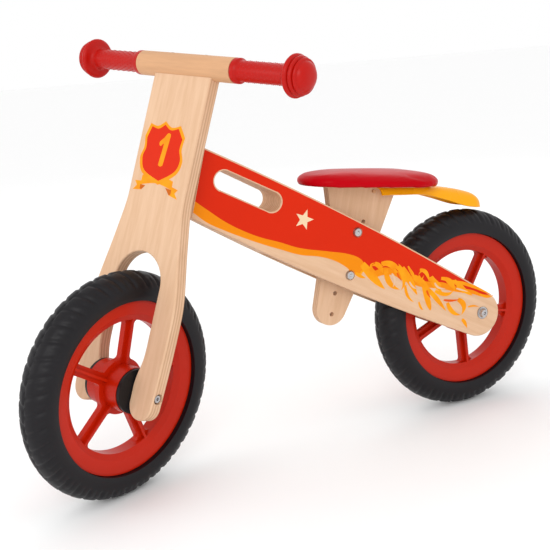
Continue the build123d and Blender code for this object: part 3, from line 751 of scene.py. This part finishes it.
class BIKE_OT_tail_guard(Operator):
    """Moulds the guard behind the seat: an arched trough that straddles the post"""

    bl_idname = "bike.tail_guard"
    bl_label = "Tail guard"

    half_width = 20.5
    wall = 2.6
    tip = -42
    front = 144.5
    slot_front = 104  # the post runs through the guard ahead of here
    slot_half_width = 6
    lip_flare = 0.05
    arch_power = 2.6  # 2 would give a round arch, and more a squarer one
    corner_step = 9  # degrees
    straight_step = 7.84
    # Heights above the rear axle of the ridge and of the lower edge, at places ahead of it.
    crest = (
        (-42, 153), (-40, 160), (-34, 167.5), (-20, 175.5), (20, 187), (70, 196.2), (107, 200.4),
        (144.5, 204.7),
    )
    lip = ((-42, 150.2), (-39, 150.5), (-7, 156.6), (33, 171.5), (72, 184), (108, 188.2), (144.5, 192.3))
    # Shares of the half width, one of them at the slot's side.
    shares = (0, 0.16, 0.31, 0.48, 0.64, 0.78, 0.88, 0.95, 0.985, 1)

    def execute(self, context):
        corner = [self.half_width * (1 - cos(radians(self.corner_step * i))) for i in range(11)]
        straight = [self.half_width + self.straight_step * i for i in range(1, 22)]
        stations = [self.tip + x for x in corner + straight] + [self.front]
        sides = [-s for s in self.shares[:0:-1]] + list(self.shares)
        mesh = bmesh.new()
        bmesh.ops.create_grid(mesh, x_segments=len(stations) - 1, y_segments=len(sides) - 1, size=0.5)
        for vertex in mesh.verts:
            x = stations[round((vertex.co.x + 0.5) * (len(stations) - 1))]
            share = sides[round((vertex.co.y + 0.5) * (len(sides) - 1))]
            short = max(self.half_width - (x - self.tip), 0)
            half = sqrt(max(self.half_width**2 - short**2, 0))
            low, high = fair(self.lip, x), fair(self.crest, x)
            rise = (1 - abs(share) ** self.arch_power) ** (1 / self.arch_power)
            flare = 1 + self.lip_flare * (abs(share) == 1)
            vertex.co = rear_axle + Vector((x, share * half * flare, low + (high - low) * rise)) * MM
        over_post = [
            face
            for face in mesh.faces
            if face.calc_center_median().x > rear_axle.x + self.slot_front * MM
            and abs(face.calc_center_median().y) < self.slot_half_width * MM
        ]
        bmesh.ops.delete(mesh, geom=over_post, context="FACES")
        close_up(mesh)
        bmesh.ops.solidify(mesh, geom=mesh.faces[:], thickness=self.wall * MM)
        bmesh.ops.recalc_face_normals(mesh, faces=mesh.faces)
        shades = context.scene.bike_paint
        finish = moulded("guard_plastic", list(shades.guard_yellow), 0.28, 600, 0.05 * MM)
        made = piece("tail_guard_shell", mesh, "frame", finish, sharp=50)
        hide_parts("tail_guard")
        return {"FINISHED"}


class BIKE_OT_grips(Operator):
    """Moulds both grips, with their flanges, stepped ends and rows of raised dots"""

    bl_idname = "bike.grips"
    bl_label = "Grips"

    profile = (
        (82.3, 9.3), (82.3, 15.2), (83, 16), (88.2, 16), (89, 15.6), (90.2, 13.4), (91.2, 13), (166.5, 13),
        (169.5, 13.4), (171.8, 14.6), (172.8, 17), (173.2, 20), (173.6, 23.4), (174.4, 25.4), (175.8, 26.4),
        (177.4, 26.4), (179, 25.4), (180.1, 23.6), (180.5, 22.2), (180.9, 22.2), (181.4, 23.2), (182.6, 24),
        (184.2, 24), (185.4, 23), (186.1, 21.4), (186.4, 20.2), (186.8, 20.3), (187.4, 21.2), (188.6, 21.9),
        (189.8, 21.6), (190.7, 20.4), (191.1, 18.6), (191.6, 18.4), (193.6, 17.2), (195.6, 15.2),
        (197.3, 12.4),
        (198.5, 8.6), (199, 4), (199, 0),
    )
    tenon_end = 158
    socket_radius = 9.3
    steps = 56
    dot_rows = 14
    dots_round = 16
    first_row = 97.5
    row_pitch = 5
    dot_radius = 1.15
    dot_reach = 12.5  # from the bar's axis to a dot's middle

    def execute(self, context):
        shades = context.scene.bike_paint
        finish = moulded("grip_rubber", list(shades.grip_red), 0.34, 1200, 0.08 * MM)
        for side, name in ((1, "grip_left"), (-1, "grip_right")):
            mesh = bmesh.new()
            socket = [(self.tenon_end, 0), (self.tenon_end, self.socket_radius)]
            spun(mesh, bar_middle, across * side, board_up, socket + list(self.profile), self.steps)
            close_up(mesh)
            for row in range(self.dot_rows):
                reach = across * side * (self.first_row + self.row_pitch * row)
                for i in range(self.dots_round):
                    angle = 2 * pi * (i + 0.5 * (row % 2)) / self.dots_round
                    out = board_up * cos(angle) + board_ahead * sin(angle)
                    centre = Matrix.Translation(bar_middle + (reach + out * self.dot_reach) * MM)
                    bmesh.ops.create_uvsphere(
                        mesh, u_segments=6, v_segments=4, radius=self.dot_radius * MM, matrix=centre
                    )
            made = piece(f"{name}_moulding", mesh, "fork", finish, sharp=40)
            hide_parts(name)
        return {"FINISHED"}


class BIKE_OT_tyres(Operator):
    """Moulds both foam tyres, with staggered shoulder blocks"""

    bl_idname = "bike.tyres"
    bl_label = "Tyres"

    ring = 125  # radius of the section's centre round the axle
    section = 25
    foot = ((12.3, 107), (12.3, 113.4), (15.6, 115.2), (20.6, 115.3))
    edge_angle = radians(113)
    arc_steps = 44
    steps_per_block = 11
    # Angles round the section, from the middle of the tread.
    tread_angle = radians(74)
    sipe_from = radians(38)
    ridge_at, ridge_half = radians(34), radians(3.5)
    seam_half, seam_slope = radians(5), radians(3)
    fade_width = radians(8)
    # Depths as shares of a full groove.
    sipe_depth, seam_depth, ridge_depth = 0.55, 0.7, 0.6
    # Where a groove's wall starts and how wide it is, as shares of half a block.
    groove_start, groove_wall = 0.68, 0.2
    sipe_start, sipe_wall = 0.86, 0.1
    slant = 0.42  # how far a groove leans round the tyre, in blocks a radian
    arc_gap = 0.2  # points nearer than this to the arc are part of the tread or wall

    def half_section(self):
        """The section's outer arc and the foot that sits in the rim, from side to side."""
        arc = []
        for i in range(self.arc_steps + 1):
            angle = self.edge_angle * (1 - 2 * i / self.arc_steps)
            arc.append((self.section * sin(angle), self.ring + self.section * cos(angle)))
        return list(self.foot) + arc + [(-a, r) for a, r in self.foot[::-1]]

    def wall(self, share, start, width):
        """0 on a block and 1 in a groove, with a slope between."""
        return max(0, min(1, (share - start) / width))

    def tread(self, turn, angle, blocks):
        """Share of the groove's depth at a place on the section, 0 on a block."""
        reach = abs(angle)
        if reach > self.tread_angle:
            return 0
        stagger = 0 if angle > 0 else 0.5
        around = turn / (2 * pi) * blocks + stagger + self.slant * reach
        from_middle = abs(around - floor(around) - 0.5) * 2
        from_edge = abs(around + 0.5 - floor(around + 0.5) - 0.5) * 2
        groove = self.wall(from_middle, self.groove_start, self.groove_wall)
        sipe = self.sipe_depth * self.wall(from_edge, self.sipe_start, self.sipe_wall)
        seam = self.seam_depth * max(0, min(1, (self.seam_half - reach) / self.seam_slope))
        ridge = self.ridge_depth * max(0, 1 - abs(reach - self.ridge_at) / self.ridge_half)
        fade = min(1, (self.tread_angle - reach) / self.fade_width)
        return max(groove, sipe if reach > self.sipe_from else 0, seam, ridge) * fade

    def execute(self, context):
        tread = context.scene.bike_tread
        finish = foam_tyre("tyre_foam")
        steps = tread.blocks * self.steps_per_block
        for name, centre, axis, ahead in (
            ("front", front_axle, across, board_ahead),
            ("rear", rear_axle, bike_left, Vector((1, 0, 0))),
        ):
            mesh = bmesh.new()
            profile = self.half_section()
            spun(mesh, centre, axis, ahead, profile + profile[:1], steps)
            close_up(mesh)
            beside = axis.cross(ahead)
            for vertex in mesh.verts:
                offset = (vertex.co - centre) / MM
                a = offset.dot(axis)
                out = offset - axis * a
                turn = atan2(out.dot(beside), out.dot(ahead))
                rise = out.length - self.ring
                angle = atan2(a, rise)
                if abs(hypot(a, rise) - self.section) > self.arc_gap:
                    continue
                depth = self.tread(turn, angle, tread.blocks) * tread.groove
                normal = axis * sin(angle) + out.normalized() * cos(angle)
                vertex.co -= normal * depth
            made = piece(f"{name}_tyre_moulding", mesh, f"{name}_wheel", finish, sharp=38)
            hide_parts(f"{name}_tyre")
        return {"FINISHED"}


class BIKE_OT_seat_cushion(Operator):
    """Pads the seat: a crowned vinyl cover, swollen over its foam and held round the board"""

    bl_idname = "bike.seat_cushion"
    bl_label = "Seat cushion"

    voxel = 4.5 * MM
    frames = 20
    held_height = 5.5  # the cover is stapled under the seat below this height
    widest = 7  # height of the cover's widest line
    fall = 0.6  # how far the top drops towards the rim
    shrink = 0.985  # leaves room for the cover to swell
    merge_gap = 0.01
    # Millimetres ahead of the seat's middle, and aside of it.
    half_length = 112
    nose_slope, tail_slope = 66, 62  # lengths over which the ends fall
    edge_slope = 34  # width over which the sides fall
    half_width = 54
    nose_narrowing, taper_start, taper_length = 6, -52, 116

    def execute(self, context):
        source = frame["nodes"]["seat_cushion"]
        mesh = bmesh.new()
        mesh.from_mesh(source.data)
        bmesh.ops.remove_doubles(mesh, verts=mesh.verts, dist=self.merge_gap * MM)
        for vertex in mesh.verts:
            offset = vertex.co - seat_middle
            up = offset.dot(seat_up)
            vertex.co = seat_middle + (offset - seat_up * up) * self.shrink + seat_up * up
        data = bpy.data.meshes.new("seat_cover")
        mesh.to_mesh(data)
        mesh.free()
        pad = bpy.data.objects.new("seat_cover", data)
        context.scene.collection.objects.link(pad)
        context.view_layer.objects.active = pad
        remesh = pad.modifiers.new("Even mesh", "REMESH")
        remesh.mode = "VOXEL"
        remesh.voxel_size = self.voxel
        self.settle(context, pad)
        self.crown(pad.data)
        self.swell(context, pad)
        data = pad.data
        data.materials.clear()
        data.materials.append(vinyl("seat_vinyl", list(context.scene.bike_paint.seat_red)).material)
        data.shade_smooth()
        smooth = pad.modifiers.new("Smooth cover", "SUBSURF")
        smooth.levels = smooth.render_levels = 1
        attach(pad, "frame")
        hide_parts("seat_cushion")
        return {"FINISHED"}

    def settle(self, context, pad):
        """Makes the modifiers' result the pad's own mesh."""
        graph = context.evaluated_depsgraph_get()
        graph.update()
        settled = bpy.data.meshes.new_from_object(pad.evaluated_get(graph))
        pad.modifiers.clear()
        pad.data = settled

    def crown(self, data):
        """Lowers the cover towards its rim, so that the top is a shallow dome."""
        for vertex in data.vertices:
            offset = vertex.co - seat_middle
            up = offset.dot(seat_up) / MM
            ahead = offset.dot(seat_ahead) / MM
            aside = abs(offset.y) / MM
            reach = self.half_width - self.nose_narrowing * (ahead - self.taper_start) / self.taper_length
            inside = max(0, min(1, (reach - aside) / self.edge_slope))
            nose = max(0, min(1, (self.half_length - ahead) / self.nose_slope))
            tail = max(0, min(1, (ahead + self.half_length) / self.tail_slope))
            ends = nose * tail
            share = inside * (2 - inside) * ends * (2 - ends)
            if up > self.widest:
                vertex.co -= seat_up * ((up - self.widest) * self.fall * (1 - share)) * MM

    def swell(self, context, pad):
        """Inflates the cover as cloth and keeps each point near where it began."""
        settings = context.scene.bike_seat
        held = pad.vertex_groups.new(name="held")
        start = [vertex.co.copy() for vertex in pad.data.vertices]
        for i, place in enumerate(start):
            height = (place - seat_middle).dot(seat_up) / MM
            if height < self.held_height:
                held.add([i], 1, "REPLACE")
        cloth = pad.modifiers.new("Padding", "CLOTH")
        cover = cloth.settings
        cover.use_pressure = True
        cover.uniform_pressure_force = settings.pressure
        cover.vertex_group_mass = "held"
        cover.effector_weights.gravity = 0
        cloth.point_cache.frame_start = 1
        cloth.point_cache.frame_end = self.frames
        for number in range(1, self.frames + 1):
            context.scene.frame_set(number)
        self.settle(context, pad)
        context.scene.frame_set(1)
        pad.vertex_groups.clear()
        for vertex, place in zip(pad.data.vertices, start):
            travel = vertex.co - place
            if travel.length > settings.swell:
                vertex.co = place + travel.normalized() * settings.swell


class BIKE_OT_stage(Operator):
    """Adds the pale floor, the even studio light and the camera"""

    bl_idname = "bike.stage"
    bl_label = "Stage"

    camera_place = Vector((0.7315, 1.2906, 0.565))
    camera_turn = (radians(-118.44), radians(-12.08), radians(-4.01))
    lens = 71.14
    sensor = 36
    floor_reach = 20
    floor_tones = ((0.97, 0.97, 0.97, 1), (0.98, 0.98, 0.98, 1))
    # Lamps: name, place, target, width, and power as a share of the key light's.
    lamps = (
        ("key_light", (1.5, 2.3, 1.6), (0, 0, 0.3), 1.3, 1),
        ("side_light", (2.6, -0.6, 1.2), (0.1, 0, 0.3), 1.2, 0.35),
        ("back_light", (-1.6, -1.8, 1.8), (0, 0, 0.3), 1.4, 0.35),
    )

    def execute(self, context):
        settings = context.scene.bike_stage
        self.add_floor(context)
        self.add_light(context, settings)
        self.add_camera(context)
        context.scene.view_settings.view_transform = "Standard"
        return {"FINISHED"}

    def add_floor(self, context):
        """A wide sheet of pale paper."""
        mesh = bmesh.new()
        bmesh.ops.create_grid(mesh, x_segments=1, y_segments=1, size=self.floor_reach)
        data = bpy.data.meshes.new("floor")
        mesh.to_mesh(data)
        mesh.free()
        ground = bpy.data.objects.new("floor", data)
        context.scene.collection.objects.link(ground)
        finish = Finish("floor_paper", Specular_IOR_Level=0.1)
        cloud = finish.noise(3)
        finish.base(finish.blend(cloud, *self.floor_tones)).rough(0.8 + cloud * 0.1)
        data.materials.append(finish.material)

    def add_light(self, context, settings):
        """An even white sky and three round soft lamps."""
        world = bpy.data.worlds.new("studio")
        world.use_nodes = True
        sky = world.node_tree.nodes["Background"]
        sky.inputs["Color"].default_value = (1, 1, 1, 1)
        sky.inputs["Strength"].default_value = settings.sky
        context.scene.world = world

        for name, place, target, width, share in self.lamps:
            lamp = bpy.data.lights.new(name, "AREA")
            lamp.shape = "DISK"
            lamp.size = width
            lamp.energy = settings.key * share
            light = bpy.data.objects.new(name, lamp)
            light.location = place
            light.rotation_euler = (Vector(target) - Vector(place)).to_track_quat("-Z", "Y").to_euler()
            context.scene.collection.objects.link(light)

    def add_camera(self, context):
        """The camera, turned by its yaw, pitch and roll."""
        camera_data = bpy.data.cameras.new("camera")
        camera_data.lens = self.lens
        camera_data.sensor_width = self.sensor
        camera = bpy.data.objects.new("camera", camera_data)
        yaw, pitch, roll = self.camera_turn
        ahead = Vector((cos(yaw) * cos(pitch), sin(yaw) * cos(pitch), sin(pitch)))
        right = ahead.cross(Vector((0, 0, 1))).normalized()
        up = right.cross(ahead)
        rolled_right = right * cos(roll) + up * sin(roll)
        rolled_up = up * cos(roll) - right * sin(roll)
        axes = Matrix((rolled_right, rolled_up, -ahead)).transposed()
        camera.matrix_world = Matrix.Translation(self.camera_place) @ axes.to_4x4()
        context.scene.collection.objects.link(camera)
        context.scene.camera = camera


OPERATORS = (
    BIKE_OT_wooden_pieces,
    BIKE_OT_moulded_pieces,
    BIKE_OT_beam_artwork,
    BIKE_OT_fork_badge,
    BIKE_OT_tail_guard,
    BIKE_OT_grips,
    BIKE_OT_tyres,
    BIKE_OT_seat_cushion,
    BIKE_OT_stage,
)
GROUPS = {"bike_paint": BikePaint, "bike_tread": BikeTread, "bike_seat": BikeSeat, "bike_stage": BikeStage}


class BIKE_PT_pieces(Panel):
    """Lists the bike's settings and the operators that build its pieces"""

    bl_idname = "BIKE_PT_pieces"
    bl_label = "Balance bike"
    bl_space_type = "VIEW_3D"
    bl_region_type = "UI"
    bl_category = "Balance bike"

    def draw(self, context):
        for group, kind in GROUPS.items():
            column = self.layout.column()
            for setting in kind.__annotations__:
                column.prop(getattr(context.scene, group), setting)
        for operator in OPERATORS:
            self.layout.operator(operator.bl_idname)


def register():
    for kind in (*GROUPS.values(), *OPERATORS, BIKE_PT_pieces):
        bpy.utils.register_class(kind)
    for group, kind in GROUPS.items():
        setattr(bpy.types.Scene, group, PointerProperty(type=kind))


def unregister():
    for group in GROUPS:
        delattr(bpy.types.Scene, group)
    for kind in (BIKE_PT_pieces, *OPERATORS[::-1], *GROUPS.values()):
        bpy.utils.unregister_class(kind)


def main():
    register()
    for operator in OPERATORS:
        group, name = operator.bl_idname.split(".")
        getattr(getattr(bpy.ops, group), name)()
    bpy.context.view_layer.update()


if __name__ == "__main__":
    main()
